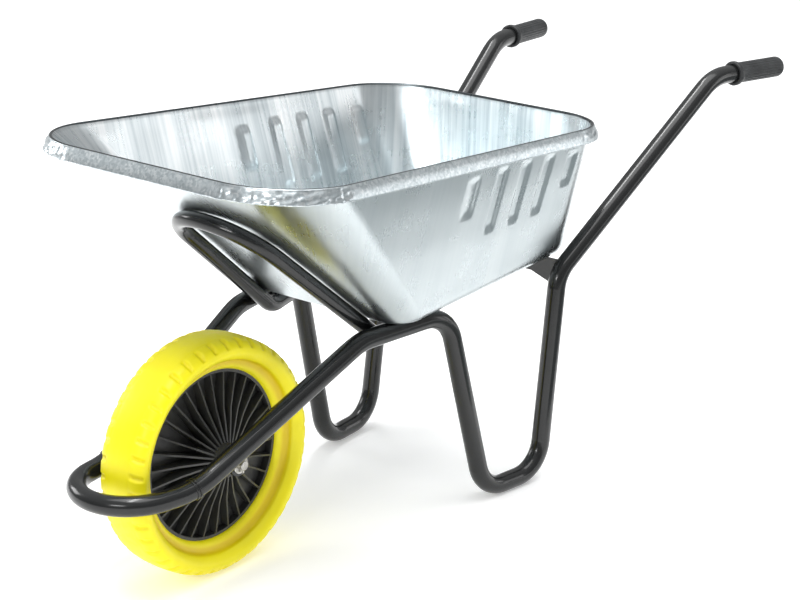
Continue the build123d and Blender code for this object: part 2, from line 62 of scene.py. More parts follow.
# ---- tray, as in the CAD part ----
MM = 0.001
SHEET = 1.0 * MM
FLOOR_TILT = math.radians(-2.0)
RIM_TILT = math.radians(4.5)
FLOOR_Z = 374.51 * MM
RIM_Z = 639.17 * MM
FLOOR = {"front": 225, "rear": -247, "half_front": 190, "half_rear": 174, "r_front": 50, "r_rear": 60}
RIM = {"front": 595, "rear": -259, "half_front": 288, "half_rear": 247, "r_front": 125, "r_rear": 115}
FLOOR_BEND = 23.0 * MM
CREST_R = 4.0 * MM
SKIRT_DROP = 21.0 * MM
SKIRT_FLARE = 13.4 * MM
HEM_R = 1.8 * MM
CREST_END = math.radians(161.0)
SKIRT_BULGE = 0.9 * MM
HEM_TURN = math.radians(150.0)


# ---- small helpers ----
def smooth_step(value, low, high):
    """0 below low, 1 above high, smooth between."""
    t = np.clip((value - low) / (high - low), 0.0, 1.0)
    return t * t * (3.0 - 2.0 * t)


def ripple(points, wavelength, waves=9, seed=1):
    """Smooth uneven waves, about -1 to 1, from seeded plane waves through the points."""
    source = np.random.default_rng(seed)
    total = np.zeros(points.shape[:-1])
    for _ in range(waves):
        direction = source.normal(size=3)
        direction /= np.linalg.norm(direction)
        length = wavelength * source.uniform(0.7, 1.6)
        phase = source.uniform(0, 2 * math.pi)
        total += np.sin(points @ direction * (2 * math.pi / length) + phase)
    return total / math.sqrt(waves)


def grid_faces(rows, columns, first=0, wrap_rows=False):
    """Quads of a grid whose columns close round."""
    made = []
    last = rows if wrap_rows else rows - 1
    for r in range(last):
        a = first + r * columns
        b = first + ((r + 1) % rows) * columns
        for c in range(columns):
            d = (c + 1) % columns
            made.append((a + c, a + d, b + d, b + c))
    return made


def make_piece(name, points, faces, body, material):
    """A smooth-shaded mesh object that rides on a CAD body."""
    mesh = bpy.data.meshes.new(name)
    mesh.from_pydata([tuple(p) for p in points], [], faces)
    mesh.polygons.foreach_set("use_smooth", [True] * len(mesh.polygons))
    mesh.materials.append(material)
    mesh.update()
    piece = bpy.data.objects.new(name, mesh)
    bpy.context.scene.collection.objects.link(piece)
    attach(piece, body)
    return piece


def point_values(piece, name, values):
    layer = piece.data.attributes.new(name, "FLOAT", "POINT")
    layer.data.foreach_set("value", np.asarray(values, np.float32).ravel())


def point_vectors(piece, name, values):
    layer = piece.data.attributes.new(name, "FLOAT_VECTOR", "POINT")
    layer.data.foreach_set("vector", np.asarray(values, np.float32).ravel())


# ---- shader helpers ----
class Shader:
    """One Principled material with short calls for its nodes."""

    def __init__(self, name, **settings):
        self.material = bpy.data.materials.new(name)
        self.material.use_nodes = True
        self.tree = self.material.node_tree
        self.bsdf = self.tree.nodes["Principled BSDF"]
        for socket, value in settings.items():
            self.bsdf.inputs[socket.replace("_", " ")].default_value = value
        self.place = self.tree.nodes.new("ShaderNodeTexCoord").outputs["Object"]

    def link(self, output, socket):
        self.tree.links.new(output, socket)

    def attribute(self, name, output="Vector"):
        node = self.tree.nodes.new("ShaderNodeAttribute")
        node.attribute_name = name
        return node.outputs[output]

    def stretch(self, vector, scale):
        node = self.tree.nodes.new("ShaderNodeMapping")
        node.inputs["Scale"].default_value = scale
        self.link(vector, node.inputs["Vector"])
        return node.outputs["Vector"]

    def noise(self, scale, detail=3.0, roughness=0.5, vector=None):
        node = self.tree.nodes.new("ShaderNodeTexNoise")
        node.inputs["Scale"].default_value = scale
        node.inputs["Detail"].default_value = detail
        node.inputs["Roughness"].default_value = roughness
        self.link(vector or self.place, node.inputs["Vector"])
        return node.outputs["Fac"]

    def cells(self, scale, vector=None):
        """A random value for each crystal-like cell."""
        node = self.tree.nodes.new("ShaderNodeTexVoronoi")
        node.inputs["Scale"].default_value = scale
        self.link(vector or self.place, node.inputs["Vector"])
        split = self.tree.nodes.new("ShaderNodeSeparateColor")
        self.link(node.outputs["Color"], split.inputs["Color"])
        return split.outputs["Red"]

    def between(self, value, low, high, from_low=0.0, from_high=1.0):
        node = self.tree.nodes.new("ShaderNodeMapRange")
        node.inputs["From Min"].default_value = from_low
        node.inputs["From Max"].default_value = from_high
        node.inputs["To Min"].default_value = low
        node.inputs["To Max"].default_value = high
        self.link(value, node.inputs["Value"])
        return node.outputs["Result"]

    def math(self, operation, a, b):
        node = self.tree.nodes.new("ShaderNodeMath")
        node.operation = operation
        for socket, value in zip(node.inputs, (a, b)):
            if isinstance(value, (int, float)):
                socket.default_value = value
            else:
                self.link(value, socket)
        return node.outputs["Value"]

    def colours(self, value, *stops):
        """Colour along a value: stops are (place, (r, g, b))."""
        node = self.tree.nodes.new("ShaderNodeValToRGB")
        ramp = node.color_ramp
        while len(ramp.elements) < len(stops):
            ramp.elements.new(0.5)
        for element, (place, colour) in zip(ramp.elements, stops):
            element.position = place
            element.color = (*colour, 1.0)
        self.link(value, node.inputs["Fac"])
        return node.outputs["Color"]

    def mix(self, share, a, b):
        node = self.tree.nodes.new("ShaderNodeMix")
        node.data_type = "RGBA"
        self.link(share, node.inputs["Factor"])
        for socket, value in ((node.inputs[6], a), (node.inputs[7], b)):
            if isinstance(value, tuple):
                socket.default_value = (*value, 1.0)
            else:
                self.link(value, socket)
        return node.outputs[2]

    def bumps(self, *layers):
        """Bump layers, each (height, strength, distance)."""
        normal = None
        for height, strength, distance in layers:
            node = self.tree.nodes.new("ShaderNodeBump")
            node.inputs["Strength"].default_value = strength
            node.inputs["Distance"].default_value = distance
            self.link(height, node.inputs["Height"])
            if normal is not None:
                self.link(normal, node.inputs["Normal"])
            normal = node.outputs["Normal"]
        self.link(normal, self.bsdf.inputs["Normal"])

    def colour(self, output):
        self.link(output, self.bsdf.inputs["Base Color"])

    def roughness(self, output):
        self.link(output, self.bsdf.inputs["Roughness"])


def frame_black():
    """Gloss black powder coat with a faint orange peel."""
    s = Shader("frame_black_gloss", Specular_IOR_Level=0.36, Coat_Weight=0.25, Coat_Roughness=0.07)
    s.colour(s.colours(s.noise(9.0), (0.3, (0.007, 0.0075, 0.0075)), (0.75, (0.010, 0.0106, 0.0108))))
    s.roughness(s.between(s.noise(60.0), 0.19, 0.25, 0.3, 0.7))
    s.bumps((s.noise(520.0, 2.0), 0.035, 0.0004), (s.noise(45.0, 2.0), 0.02, 0.0012))
    return s.material


def galvanised(name):
    """Drawn galvanised sheet: streaks inside, a darker, less streaked outside whose darker tone is painted
    shade, a mottled skirt, and a painted dark reflection along the crest.
    """
    s = Shader(name, Metallic=1.0)
    place = s.attribute("flow")
    inside = s.attribute("inside", "Fac")
    skirt = s.attribute("skirt", "Fac")
    # Mask of the painted dark reflection along the inner crest.
    crest = s.attribute("crest", "Fac")
    long_way = s.stretch(place, (1.0, 1.0, 0.012))
    streaks = s.noise(150.0, 2.0, 0.5, long_way)
    broad = s.noise(26.0, 2.0, 0.5, long_way)
    cloud = s.noise(14.0, 3.0, 0.55, place)
    tone = s.math("ADD", s.math("MULTIPLY", streaks, 0.45), s.math("MULTIPLY", broad, 0.55))
    drawn = s.colours(tone, (0.34, (0.50, 0.555, 0.58)), (0.5, (0.72, 0.765, 0.78)),
                      (0.64, (0.90, 0.92, 0.925)))
    # The outside is less streaked than the inside, and its darker tone is painted shade.
    plain = s.colours(tone, (0.34, (0.48, 0.53, 0.545)), (0.68, (0.535, 0.58, 0.59)))
    mottle = s.math("ADD", s.math("MULTIPLY", s.noise(170.0, 4.0, 0.65, place), 0.65),
                    s.math("MULTIPLY", s.cells(260.0, place), 0.35))
    dull = s.colours(mottle, (0.30, (0.42, 0.47, 0.49)), (0.5, (0.53, 0.58, 0.60)),
                     (0.72, (0.70, 0.735, 0.745)))
    bright = s.mix(skirt, s.mix(inside, plain, drawn), dull)
    # Painted reflection: the sheet's colour is darkened along the crest to stand in for a dark reflection.
    s.colour(s.mix(crest, bright, (0.065, 0.075, 0.08)))
    rough = s.math("ADD", s.between(streaks, 0.27, 0.29, 0.3, 0.7),
                   s.between(cloud, -0.015, 0.02, 0.3, 0.7))
    s.roughness(s.math("ADD", rough, s.math("MULTIPLY", skirt, 0.03)))
    s.bumps((s.noise(42.0, 2.0, 0.5), 0.05, 0.0010))
    return s.material


def bright_zinc():
    """Electroplated fixings, their base colour kept dark as painted shade that dims their glint."""
    s = Shader("zinc_hardware", Metallic=1.0)
    # The dark base colour is painted shade, dimming the glint of the washers and split pins.
    s.colour(s.colours(s.noise(150.0), (0.3, (0.30, 0.29, 0.27)), (0.7, (0.52, 0.51, 0.48))))
    s.roughness(s.between(s.noise(420.0), 0.22, 0.42, 0.3, 0.7))
    s.bumps((s.noise(1500.0, 2.0), 0.12, 0.0002))
    return s.material


def tyre_yellow():
    """Moulded yellow polyurethane, darkened to orange in its grooves and side wall scoop as painted shade.
    """
    s = Shader("tyre_yellow", Specular_IOR_Level=0.45, Coat_Weight=0.08, Coat_Roughness=0.3)
    cloud = s.noise(22.0, 4.0, 0.6)
    body = s.colours(cloud, (0.3, (0.90, 0.79, 0.0)), (0.7, (0.93, 0.83, 0.0)))
    painted_recess_shade = s.attribute("painted_recess_shade", "Fac")
    # Painted shade: the grooves, the ring and the side wall scoop darkened towards orange.
    s.colour(s.mix(painted_recess_shade, body, (0.72, 0.50, 0.0)))
    s.roughness(s.between(s.noise(85.0), 0.36, 0.52, 0.3, 0.7))
    s.bumps((s.noise(520.0, 3.0), 0.10, 0.0004), (s.noise(60.0, 2.0), 0.10, 0.0012))
    return s.material


def wheel_black():
    """Satin moulded plastic of the wheel centre."""
    s = Shader("wheel_black", Specular_IOR_Level=0.5)
    s.colour(s.colours(s.noise(30.0), (0.3, (0.028, 0.028, 0.027)), (0.7, (0.050, 0.051, 0.048))))
    s.roughness(s.between(s.noise(110.0), 0.30, 0.46, 0.3, 0.7))
    s.bumps((s.noise(800.0, 2.0), 0.10, 0.0003))
    return s.material


def nylon():
    """Off-white moulded nylon of the hub bushes."""
    s = Shader("bush_nylon", Specular_IOR_Level=0.4)
    s.colour(s.colours(s.noise(70.0), (0.3, (0.58, 0.56, 0.50)), (0.7, (0.72, 0.70, 0.64))))
    s.roughness(s.between(s.noise(200.0), 0.42, 0.58, 0.3, 0.7))
    s.bumps((s.noise(900.0, 2.0), 0.08, 0.0002))
    return s.material


def grip_pvc():
    """Soft dipped PVC of the hand grips."""
    s = Shader("grip_pvc", Specular_IOR_Level=0.4)
    s.colour(s.colours(s.noise(40.0), (0.3, (0.016, 0.017, 0.018)), (0.7, (0.03, 0.032, 0.033))))
    s.roughness(s.between(s.noise(160.0), 0.40, 0.58, 0.3, 0.7))
    s.bumps((s.noise(1100.0, 3.0), 0.16, 0.0003))
    return s.material


MATERIALS = {
    "frame_black": frame_black(),
    "tray_zinc": galvanised("tray_zinc"),
    "zinc_hardware": bright_zinc(),
    "tyre_yellow": tyre_yellow(),
    "wheel_black": wheel_black(),
    "bush_nylon": nylon(),
    "grip_pvc": grip_pvc(),
}


def paint_nodes():
    """Each CAD node that stays gets the material of its slot in the record."""
    for part in frame["record"]["subparts"]:
        node = nodes[part["node"]]
        node.data.materials.clear()
        node.data.materials.append(MATERIALS[part["material_slot"]])


# ---- tray ----
FRONT_RUN = 44
FRONT_CORNER = 52
SIDE_RUN = 124
REAR_CORNER = 38
REAR_RUN = 36
WALL_ROWS = 50
BEND_ROWS = 7
CREST_ROWS = 12
SKIRT_ROWS = 9
HEM_ROWS = 6
COLUMN_RUNS = (FRONT_CORNER, SIDE_RUN, REAR_CORNER, REAR_RUN,
               REAR_CORNER, SIDE_RUN, FRONT_CORNER, FRONT_RUN)
CRIMP_SHARES = (1.0, 0.0, 0.55, 0.0, 0.55, 0.0, 1.0, 0.0)
CRIMP_BLEND = 15
CRIMP_PITCH = 0.019
CRIMP_FINE_PITCH = 0.0113
CRIMP_WANDER = 0.071
CRIMP_DEPTH = 4.2 * MM
FLOOR_SHARES = (0.12, 0.4, 0.7, 0.9)

# Plain upright ribs of the side walls: middle along X, then lower and upper end as shares of the wall.
WALL_RIBS = (
    (0.128, 0.56, 0.84),
    (0.052, 0.40, 0.86),
    (-0.014, 0.40, 0.86),
    (-0.080, 0.40, 0.86),
    (-0.150, 0.56, 0.84),
)
RIB_ZONE = (-0.17, 0.15)
RIB_HALF_WIDTHS = (0.008, 0.0155)
RIB_END = 0.035
RIB_FROM_Y = (0.15, 0.16)
RIB_DEPTH = 3.2 * MM

# Slight waves of the panels, and where the streaks' own coordinates put corners, sides and ends.
LONG_WAVE, LONG_WAVE_DEPTH = 0.26, 0.7 * MM
SHORT_WAVE, SHORT_WAVE_DEPTH = 0.11, 0.25 * MM
PANEL_LIFT = 0.7 * MM
FLOW_CORNER, FLOW_SIDE, FLOW_END = 0.38, 0.3, 0.5


def side_shares(count, front_x, rear_x):
    """Shares along a side wall, closer together where its ribs are."""
    fine = np.linspace(0, 1, 400)
    x = front_x + (rear_x - front_x) * fine
    density = 1.0 + 1.6 * ((x > RIB_ZONE[0]) & (x < RIB_ZONE[1]))
    total = np.concatenate([[0], np.cumsum((density[1:] + density[:-1]) / 2)])
    return np.interp(np.arange(count) / count, total / total[-1], fine)


def corner_arc(before, corner, after, radius, count):
    """Points and outward directions on the arc that rounds a corner, its last point left out."""
    back = (before - corner) / np.linalg.norm(before - corner)
    ahead = (after - corner) / np.linalg.norm(after - corner)
    turn = math.pi - math.acos(float(back @ ahead))
    middle = (back + ahead) / np.linalg.norm(back + ahead)
    centre = corner + middle * radius / math.cos(turn / 2)
    start = corner + back * radius * math.tan(turn / 2)
    end = corner + ahead * radius * math.tan(turn / 2)
    arm = (start - centre) / radius
    side = -back
    angles = turn * np.arange(count) / count
    outward = np.outer(np.cos(angles), arm) + np.outer(np.sin(angles), side)
    return centre + radius * outward, outward, start, end


def outline(size, inset):
    """Rounded trapezoid in its own plane: points and outward directions, turning left."""
    front_x, rear_x = size["front"] * MM - inset, size["rear"] * MM + inset
    half_front, half_rear = size["half_front"] * MM - inset, size["half_rear"] * MM - inset
    corners = [
        np.array([front_x, half_front]),
        np.array([rear_x, half_rear]),
        np.array([rear_x, -half_rear]),
        np.array([front_x, -half_front]),
    ]
    radii = [size["r_front"], size["r_rear"], size["r_rear"], size["r_front"]]
    counts = [FRONT_CORNER, REAR_CORNER, REAR_CORNER, FRONT_CORNER]
    arcs = [
        corner_arc(corners[i - 1], corners[i], corners[(i + 1) % 4], radii[i] * MM - inset, counts[i])
        for i in range(4)
    ]
    runs = [SIDE_RUN, REAR_RUN, SIDE_RUN, FRONT_RUN]
    points, outwards = [], []
    for i in range(4):
        arc_points, arc_out, _, end = arcs[i]
        start = arcs[(i + 1) % 4][2]
        points.append(arc_points)
        outwards.append(arc_out)
        along = (start - end) / np.linalg.norm(start - end)
        if i == 0:
            shares = side_shares(runs[i], end[0], start[0])
        elif i == 2:
            shares = 1.0 - side_shares(runs[i], start[0], end[0])[::-1]
            shares = np.concatenate([[0.0], shares[:-1]])
        else:
            shares = np.arange(runs[i]) / runs[i]
        points.append(end + np.outer(shares, start - end))
        outwards.append(np.tile([along[1], -along[0]], (runs[i], 1)))
    return np.concatenate(points), np.concatenate(outwards)


def on_plane(flat, tilt, height, lift):
    """Points of a plane that rises towards +X by tilt, lifted square to it."""
    x = flat[:, 0] * math.cos(tilt) - lift * math.sin(tilt)
    z = height + flat[:, 0] * math.sin(tilt) + lift * math.cos(tilt)
    return np.stack([x, flat[:, 1], z], axis=1)


def directions(flat, tilt):
    """Flat directions turned onto the same tilted plane."""
    return np.stack([flat[:, 0] * math.cos(tilt), flat[:, 1], flat[:, 0] * math.sin(tilt)], axis=1)


def unit(vectors):
    return vectors / np.linalg.norm(vectors, axis=-1, keepdims=True)


def wall_ribs(points, height_share):
    """Depth of the plain upright ribs pressed into the side walls."""
    depth = np.zeros(points.shape[:-1])
    for centre, low, high in WALL_RIBS:
        across_rib = np.abs(points[..., 0] - centre)
        along = smooth_step(height_share, low, low + RIB_END)
        along = along * (1 - smooth_step(height_share, high - RIB_END, high))
        depth = np.maximum(depth, (1 - smooth_step(across_rib, *RIB_HALF_WIDTHS)) * along)
    sides = smooth_step(np.abs(points[..., 1]), *RIB_FROM_Y)
    return depth * sides * RIB_DEPTH


def tray_grid():
    """The tray's upper surface, as rows: across the floor, up the wall, over the crest, down the skirt."""
    floor_flat, floor_out = outline(FLOOR, SHEET)
    rim_flat, rim_out = outline(RIM, SHEET)
    foot = on_plane(floor_flat, FLOOR_TILT, FLOOR_Z, SHEET)
    top = on_plane(rim_flat, RIM_TILT, RIM_Z, 0.0)
    inward = -directions(floor_out, FLOOR_TILT)
    outward = directions(rim_out, RIM_TILT)
    up = np.array([-math.sin(RIM_TILT), 0.0, math.cos(RIM_TILT)])
    wall = unit(top - foot)
    rows, heights, skirt = [], [], []

    turn = np.arccos(np.clip(np.sum(-inward * wall, axis=1), -1, 1))
    reach = FLOOR_BEND * np.tan(turn / 2)
    bend_start = foot + inward * reach[:, None]
    middle = unit(inward + wall)
    centre = foot + middle * (FLOOR_BEND / np.cos(turn / 2))[:, None]
    floor_middle = np.array([(FLOOR["front"] + FLOOR["rear"]) / 2 * MM, 0.0, 0.0])
    floor_middle[2] = FLOOR_Z + floor_middle[0] * math.tan(FLOOR_TILT) + SHEET
    for share in FLOOR_SHARES:
        rows.append(floor_middle + (bend_start - floor_middle) * share)
        heights.append(np.zeros(len(foot)))
        skirt.append(0.0)
    arm = bend_start - centre
    for share in np.arange(BEND_ROWS) / BEND_ROWS:
        swing = (turn * share)[:, None]
        rows.append(centre + arm * np.cos(swing) - inward * FLOOR_BEND * np.sin(swing))
        heights.append(np.zeros(len(foot)))
        skirt.append(0.0)
    wall_start = foot + wall * reach[:, None]

    lean_out = np.sum(wall * outward, axis=1)
    lean_up = wall @ up
    lean = np.arctan2(lean_out, lean_up)
    shift = CREST_R * (1 - np.sin(lean)) / np.cos(lean)
    crest = top + outward * shift[:, None] - up * CREST_R
    crest_start = crest + CREST_R * (-outward * np.cos(lean)[:, None] + up * np.sin(lean)[:, None])
    for share in np.arange(WALL_ROWS) / WALL_ROWS:
        rows.append(wall_start + (crest_start - wall_start) * share)
        heights.append(np.full(len(foot), share))
        skirt.append(0.0)
    around = np.arange(CREST_ROWS) / CREST_ROWS
    # Rows of the crest that carry the painted dark reflection.
    dark_reflection_band = smooth_step(around, -0.05, 0.1) * (1 - smooth_step(around, 0.64, 0.80))
    line = np.concatenate([np.zeros(len(rows)), dark_reflection_band, np.zeros(SKIRT_ROWS + HEM_ROWS)])
    tip = top + outward * (SHEET + SKIRT_FLARE) - up * SKIRT_DROP
    for share in around:
        angle = (lean + (CREST_END - lean) * share)[:, None]
        rows.append(crest + CREST_R * (-outward * np.cos(angle) + up * np.sin(angle)))
        heights.append(np.full(len(foot), 1.0))
        skirt.append(float(smooth_step(share, 0.60, 0.80)))
    skirt_start = crest + CREST_R * (-outward * math.cos(CREST_END) + up * math.sin(CREST_END))
    for share in np.arange(SKIRT_ROWS) / SKIRT_ROWS:
        bulge = SKIRT_BULGE * math.sin(math.pi * share)
        rows.append(skirt_start + (tip - skirt_start) * share + outward * bulge)
        heights.append(np.full(len(foot), 1.0))
        skirt.append(1.0)
    fall = unit(tip - skirt_start)
    hem_lean = np.arctan2(np.sum(fall * outward, axis=1), -(fall @ up))[:, None]
    hem_centre = tip - HEM_R * (outward * np.cos(hem_lean) + up * np.sin(hem_lean))
    for share in np.arange(HEM_ROWS) / (HEM_ROWS - 1):
        angle = hem_lean - HEM_TURN * share
        rows.append(hem_centre + HEM_R * (outward * np.cos(angle) + up * np.sin(angle)))
        heights.append(np.full(len(foot), 1.0))
        skirt.append(1.0)
    return np.array(rows), np.array(heights), np.array(skirt), line, outward, floor_middle


def grid_normals(rows):
    """Normals of a grid that closes round its columns, on the tray's inner side."""
    along = np.roll(rows, -1, axis=1) - np.roll(rows, 1, axis=1)
    down = np.gradient(rows, axis=0)
    return unit(np.cross(down, along))


def crimp_shares():
    """How strongly each column's skirt is crimped: the rounded corners, blended into the straight runs."""
    value = np.concatenate([np.full(n, m) for n, m in zip(COLUMN_RUNS, CRIMP_SHARES)])
    kernel = np.hanning(CRIMP_BLEND)
    pad = CRIMP_BLEND - 1
    padded = np.concatenate([value[-pad:], value, value[:pad]])
    return np.convolve(padded, kernel / kernel.sum(), "same")[pad:-pad]


def run_marks():
    """Which columns of the tray grid lie on its straight side runs, and on its front and rear runs."""
    side = np.concatenate([np.full(n, i in (1, 5)) for i, n in enumerate(COLUMN_RUNS)])
    end = np.concatenate([np.full(n, i in (3, 7)) for i, n in enumerate(COLUMN_RUNS)])
    return side[None, :], end[None, :]


def build_tray():
    """The sheet tray in one closed piece: upper side, under side, and the hem's cut edge."""
    rows, heights, skirt, line, outward, floor_middle = tray_grid()
    count = rows.shape[1]
    normals = grid_normals(rows)
    on_wall = smooth_step(heights, 0.0, 0.12) * (1 - smooth_step(heights, 0.9, 0.999))
    rows = rows + normals * wall_ribs(rows, heights)[..., None]
    panel = ripple(rows, LONG_WAVE, 7, 3) * LONG_WAVE_DEPTH
    panel = panel + ripple(rows, SHORT_WAVE, 7, 5) * SHORT_WAVE_DEPTH
    rows = rows + normals * ((panel + PANEL_LIFT) * on_wall)[..., None]
    corner = crimp_shares()
    edge = np.concatenate([[0.0], np.cumsum(np.linalg.norm(np.diff(rows[-HEM_ROWS], axis=0), axis=1))])
    wander = 1.3 * np.sin(edge * 2 * math.pi / CRIMP_WANDER)
    fold = np.abs(np.sin(edge * math.pi / CRIMP_PITCH + wander))
    fold = 0.6 * fold + 0.4 * np.abs(np.sin(edge * math.pi / CRIMP_FINE_PITCH + 0.8))
    for r, share in enumerate(skirt):
        if share > 0.2:
            depth_share = r / (len(skirt) - 1)
            uneven = 0.55 + 0.45 * ripple(rows[r], 0.014, 6, 20)
            press = CRIMP_DEPTH * fold * corner * share * uneven * smooth_step(depth_share, 0.80, 0.90)
            rows[r] = rows[r] - outward * press[:, None]
    normals = grid_normals(rows)
    under = rows - normals * SHEET

    total_rows = rows.shape[0]
    travel = np.concatenate([[0.0], np.cumsum(np.linalg.norm(np.diff(rows[:, 0], axis=0), axis=1))])
    rise = np.tile(travel[:, None], (1, count))
    along_side, along_end = run_marks()
    mid = np.array([(RIM["front"] + RIM["rear"]) / 2 * MM, 0.0])
    level = rows[..., :2] - mid
    level = level / np.linalg.norm(level, axis=-1, keepdims=True) * FLOW_CORNER
    flow_x = np.where(along_side, rows[..., 0], level[..., 0] + mid[0])
    flow_x = np.where(along_end, np.sign(rows[..., 0]) * FLOW_END, flow_x)
    flow_y = np.where(along_side, np.sign(rows[..., 1]) * FLOW_SIDE, level[..., 1])
    flow_y = np.where(along_end, rows[..., 1], flow_y)
    flow = np.stack([flow_x, flow_y, rise], axis=-1)

    lower_middle = floor_middle - np.array([math.sin(-FLOOR_TILT), 0, math.cos(FLOOR_TILT)]) * SHEET
    points = np.concatenate([rows.reshape(-1, 3), under.reshape(-1, 3), [floor_middle, lower_middle]])
    size = total_rows * count
    top_point, low_point = 2 * size, 2 * size + 1
    faces = [tuple(reversed(f)) for f in grid_faces(total_rows, count)]
    faces += grid_faces(total_rows, count, size)
    for c in range(count):
        d = (c + 1) % count
        faces.append((top_point, c, d))
        faces.append((low_point, size + d, size + c))
        e, f = (total_rows - 1) * count + c, (total_rows - 1) * count + d
        faces.append((e, e + size, f + size, f))
    tray = make_piece("tray_sheet", points, faces, "frame", MATERIALS["tray_zinc"])
    flat_flow = flow.reshape(-1, 3)
    point_vectors(tray, "flow", np.concatenate([flat_flow, flat_flow, [[0, 0, 0], [0, 0, 0]]]))
    mask = np.repeat(skirt, count)
    point_values(tray, "skirt", np.concatenate([mask, mask, [0, 0]]))
    # The painted dark reflection along the crest, on the upper side only.
    mask = np.repeat(line, count)
    point_values(tray, "crest", np.concatenate([mask, np.zeros(size + 2)]))
    point_values(tray, "inside", np.concatenate([np.ones(size), np.zeros(size), [1, 0]]))
    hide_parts("tray")
    return tray


# ---- tyre ----
LUGS = 42
STEPS_PER_LUG = 16
LUG_DEPTH = 4.0 * MM
LUG_SIDE_CUT = 1.2 * MM
LUG_SLANT = 5.0
RING_Y, RING_WIDTH, RING_DEPTH = 24.5 * MM, 1.0 * MM, 0.5 * MM
SEAT_R, SEAT_Y = 139.0 * MM, 16.0 * MM
SEAT_STEPS = 7
PROFILE_STEPS = 54
TYRE_WAVE, TYRE_WAVE_DEPTH = 0.09, 0.18 * MM
TYRE_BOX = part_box("tyre")
AXLE = Vector(((TYRE_BOX[0].x + TYRE_BOX[1].x) / 2, 0.0,
               (TYRE_BOX[0].z + TYRE_BOX[1].z) / 2))
WHEEL_R = (TYRE_BOX[1].z - TYRE_BOX[0].z) / 2
HALF_W = (TYRE_BOX[1].y - TYRE_BOX[0].y) / 2

# Half section of the tyre from the crown to the seat: distance from the middle, drop below the outside.
TYRE_SECTION = (
    (0.0, 0.0), (0.015, 0.0005), (0.028, 0.0018), (0.0365, 0.0042), (0.0425, 0.0085), (0.0462, 0.0135),
    (HALF_W, 0.0185), (0.0464, 0.0235), (0.0434, 0.0280), (0.0398, 0.0318), (0.0366, 0.0343),
    (0.0332, 0.0352), (0.0296, 0.0368), (0.0270, 0.0400), (0.0256, 0.0440), (0.0240, 0.0480),
    (0.0212, 0.0512), (0.0182, 0.0532),
)


def smooth_profile(points, count):
    """Catmull-Rom line through the points, evenly spaced along its length."""
    p = np.array(points, float)
    p = np.concatenate([[2 * p[0] - p[1]], p, [2 * p[-1] - p[-2]]])
    line = []
    for i in range(1, len(p) - 2):
        for t in np.linspace(0, 1, 24, endpoint=False):
            a, b, c, d = p[i - 1], p[i], p[i + 1], p[i + 2]
            line.append(0.5 * (2 * b + (c - a) * t + (2 * a - 5 * b + 4 * c - d) * t**2
                               + (3 * b - a - 3 * c + d) * t**3))
    line.append(p[-2])
    line = np.array(line)
    length = np.concatenate([[0], np.cumsum(np.linalg.norm(np.diff(line, axis=0), axis=1))])
    wanted = np.linspace(0, length[-1], count)
    return np.stack([np.interp(wanted, length, line[:, k]) for k in range(2)], axis=1)


def build_tyre():
    """Solid tyre: smooth crown, small tread blocks at its shoulders, a scoop in each side wall."""
    half = [(y, WHEEL_R - drop) for y, drop in TYRE_SECTION] + [(SEAT_Y, SEAT_R)]
    side = smooth_profile(half, PROFILE_STEPS)
    other = side[::-1] * np.array([-1.0, 1.0])
    seat_line = np.linspace(-SEAT_Y, SEAT_Y, SEAT_STEPS)[1:-1]
    seat = np.stack([seat_line, np.full(len(seat_line), SEAT_R)], axis=1)
    section = np.concatenate([other[:-1], side, seat[::-1]])
    columns = LUGS * STEPS_PER_LUG
    theta = 2 * math.pi * np.arange(columns) / columns
    y = np.repeat(section[:, 0][:, None], columns, 1)
    r = np.repeat(section[:, 1][:, None], columns, 1)
    lift = smooth_step(r, WHEEL_R - 0.0150, WHEEL_R - 0.0085)
    block = smooth_step(np.abs(y), 0.0250, 0.0295) * lift
    phase = theta[None, :] * LUGS / (2 * math.pi) + np.where(y > 0, 0.0, 0.5)
    in_lug = np.abs((phase + LUG_SLANT * (np.abs(y) - 0.03)) % 1.0 - 0.5) * 2
    groove = smooth_step(in_lug, 0.58, 0.92) * block
    ring = np.exp(-((np.abs(y) - RING_Y) / RING_WIDTH) ** 2) * lift
    depth = LUG_DEPTH * groove + RING_DEPTH * ring
    circle = np.stack([np.cos(theta), np.sin(theta), 0 * theta], 1) * WHEEL_R
    uneven = ripple(circle, TYRE_WAVE, 6, 9) * TYRE_WAVE_DEPTH
    r = r - depth - (np.abs(uneven))[None, :] * (r > SEAT_R + 0.002)
    y = y - np.sign(y) * LUG_SIDE_CUT * groove
    x = AXLE.x + r * np.cos(theta)[None, :]
    z = AXLE.z + r * np.sin(theta)[None, :]
    points = np.stack([x, y, z], axis=-1).reshape(-1, 3)
    faces = [tuple(reversed(f)) for f in grid_faces(len(section), columns, wrap_rows=True)]
    tyre = make_piece("tyre_solid", points, faces, "wheel", MATERIALS["tyre_yellow"])
    scoop = smooth_step(section[:, 1], WHEEL_R - 0.050, WHEEL_R - 0.041)
    scoop *= 1 - smooth_step(section[:, 1], WHEEL_R - 0.0365, WHEEL_R - 0.0335)
    # Painted shade mask: mostly the side wall scoop, a little the grooves and the ring.
    painted_recess_shade = np.clip(0.12 * groove + 0.08 * ring + 0.8 * scoop[:, None], 0, 1)
    point_values(tyre, "painted_recess_shade", painted_recess_shade)
    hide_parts("tyre")
    return tyre


# ---- grips ----
GRIP_R = 18.5 * MM
GRIP_COLLAR_R = 22.0 * MM
GRIP_BORE_R = 16.05 * MM
GRIP_END_WALL = 5.0 * MM
GRIP_END_ROUND = 9.0 * MM
GRIP_CENTRE_R = 4.0 * MM
GRIP_COLUMNS = 144
GRIP_RIBS = 24
GRIP_RIB_DEPTH = 0.9 * MM


def long_axis(node):
    """A node's vertices, and the direction in which they are longest."""
    co = np.array([v.co for v in nodes[node].data.vertices])
    return co, np.linalg.svd(co - co.mean(0), full_matrices=False)[2][0]


